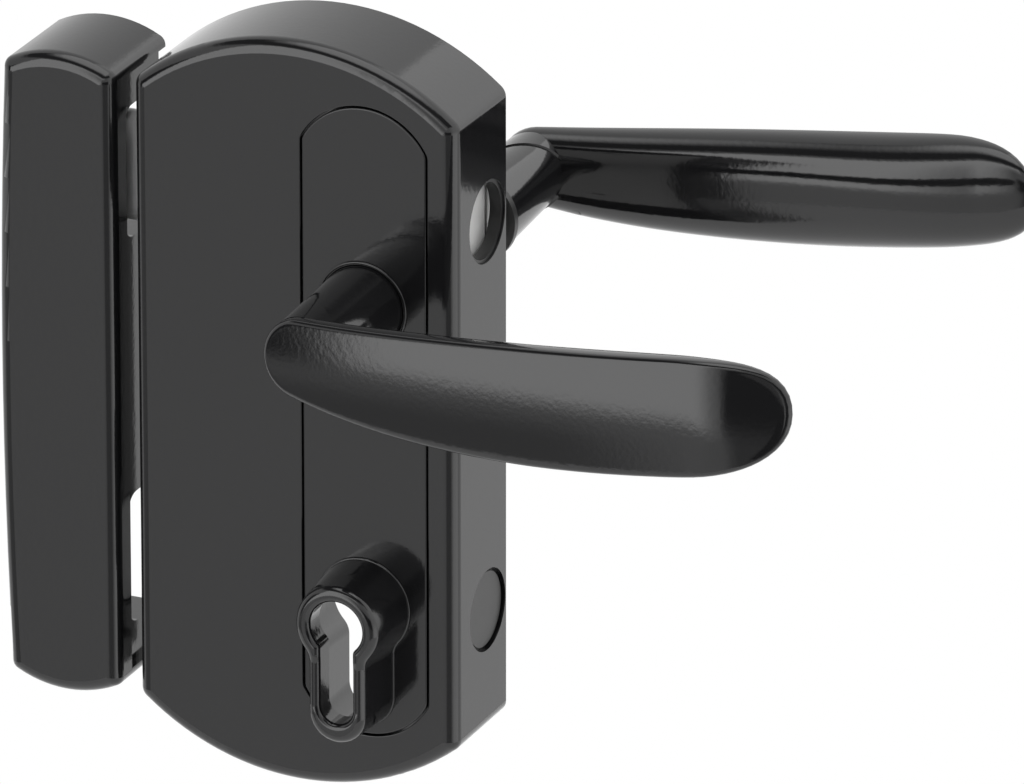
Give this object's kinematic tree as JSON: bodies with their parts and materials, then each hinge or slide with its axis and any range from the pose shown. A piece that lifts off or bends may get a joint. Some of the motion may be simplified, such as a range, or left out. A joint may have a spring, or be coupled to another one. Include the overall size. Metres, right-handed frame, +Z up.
{
  "type": "surface-mounted gate lock",
  "caption": "Surface-mounted gate lock in black with lever handles on both sides, sprung latch bolt, deadbolt, a collar for a profile cylinder and a matching keep.",
  "frame": {"origin": "on the handles' axis, in the plane of the lock's back, which lies on the gate frame", "axes": "+X to the handles' free ends, +Y from the lock's back into the gate frame along the handles' axis, +Z up"},
  "size_m": [0.2687, 0.2045, 0.2282],
  "materials": {
    "black_paint": "gloss powder coat",
    "black_plastic": "fine matt",
    "stainless": "satin",
    "zinc_plated": "bright zinc",
    "spring_steel": "bright drawn"
  },
  "bodies": {
    "lock": {"back_plate": "zinc_plated", "carriage_guide": "zinc_plated", "cylinder_collar": "black_paint", "deadbolt_bush": "black_plastic", "fixing_posts": "zinc_plated", "front_panel": "black_paint", "front_plate": "zinc_plated", "handle_bush": "black_plastic", "hole_plug": "black_plastic", "housing": "black_paint", "keep_cover": "black_paint", "keep_inserts": "zinc_plated", "latch_bush": "black_plastic", "latch_spring": "spring_steel", "panel_screws": "zinc_plated", "plate_posts": "zinc_plated", "plate_screws": "zinc_plated", "rear_bush": "black_plastic", "side_ring": "black_plastic", "strike_bars": "stainless"},
    "handle": {"handle_front": "black_paint", "handle_rear": "black_paint", "spindle": "zinc_plated", "follower": "zinc_plated", "handle_screws": "zinc_plated"},
    "latch": {"latch_bolt": "stainless"},
    "deadbolt": {"deadbolt": "stainless", "carriage": "zinc_plated", "carriage_pin": "zinc_plated"}
  },
  "joints": [
    {"name": "handle_turn", "type": "hinge", "parent": "lock", "child": "handle", "pos_m": [0, 0, 0], "axis": [0, 1, 0], "range_deg": [0, 42], "stiffness_Nm_per_rad": 2, "springref_deg": -57.3},
    {"name": "latch_slide", "type": "slide", "parent": "lock", "child": "latch", "axis": [1, 0, 0], "range_m": [0, 0.02], "deforming": ["latch_spring"]},
    {"name": "deadbolt_slide", "type": "slide", "parent": "lock", "child": "deadbolt", "axis": [-1, 0, 0], "range_m": [0, 0.02]}
  ],
  "couplings": [
    {"joint": "latch_slide", "follows": "handle_turn", "m_per_rad": 0.027284}
  ]
}
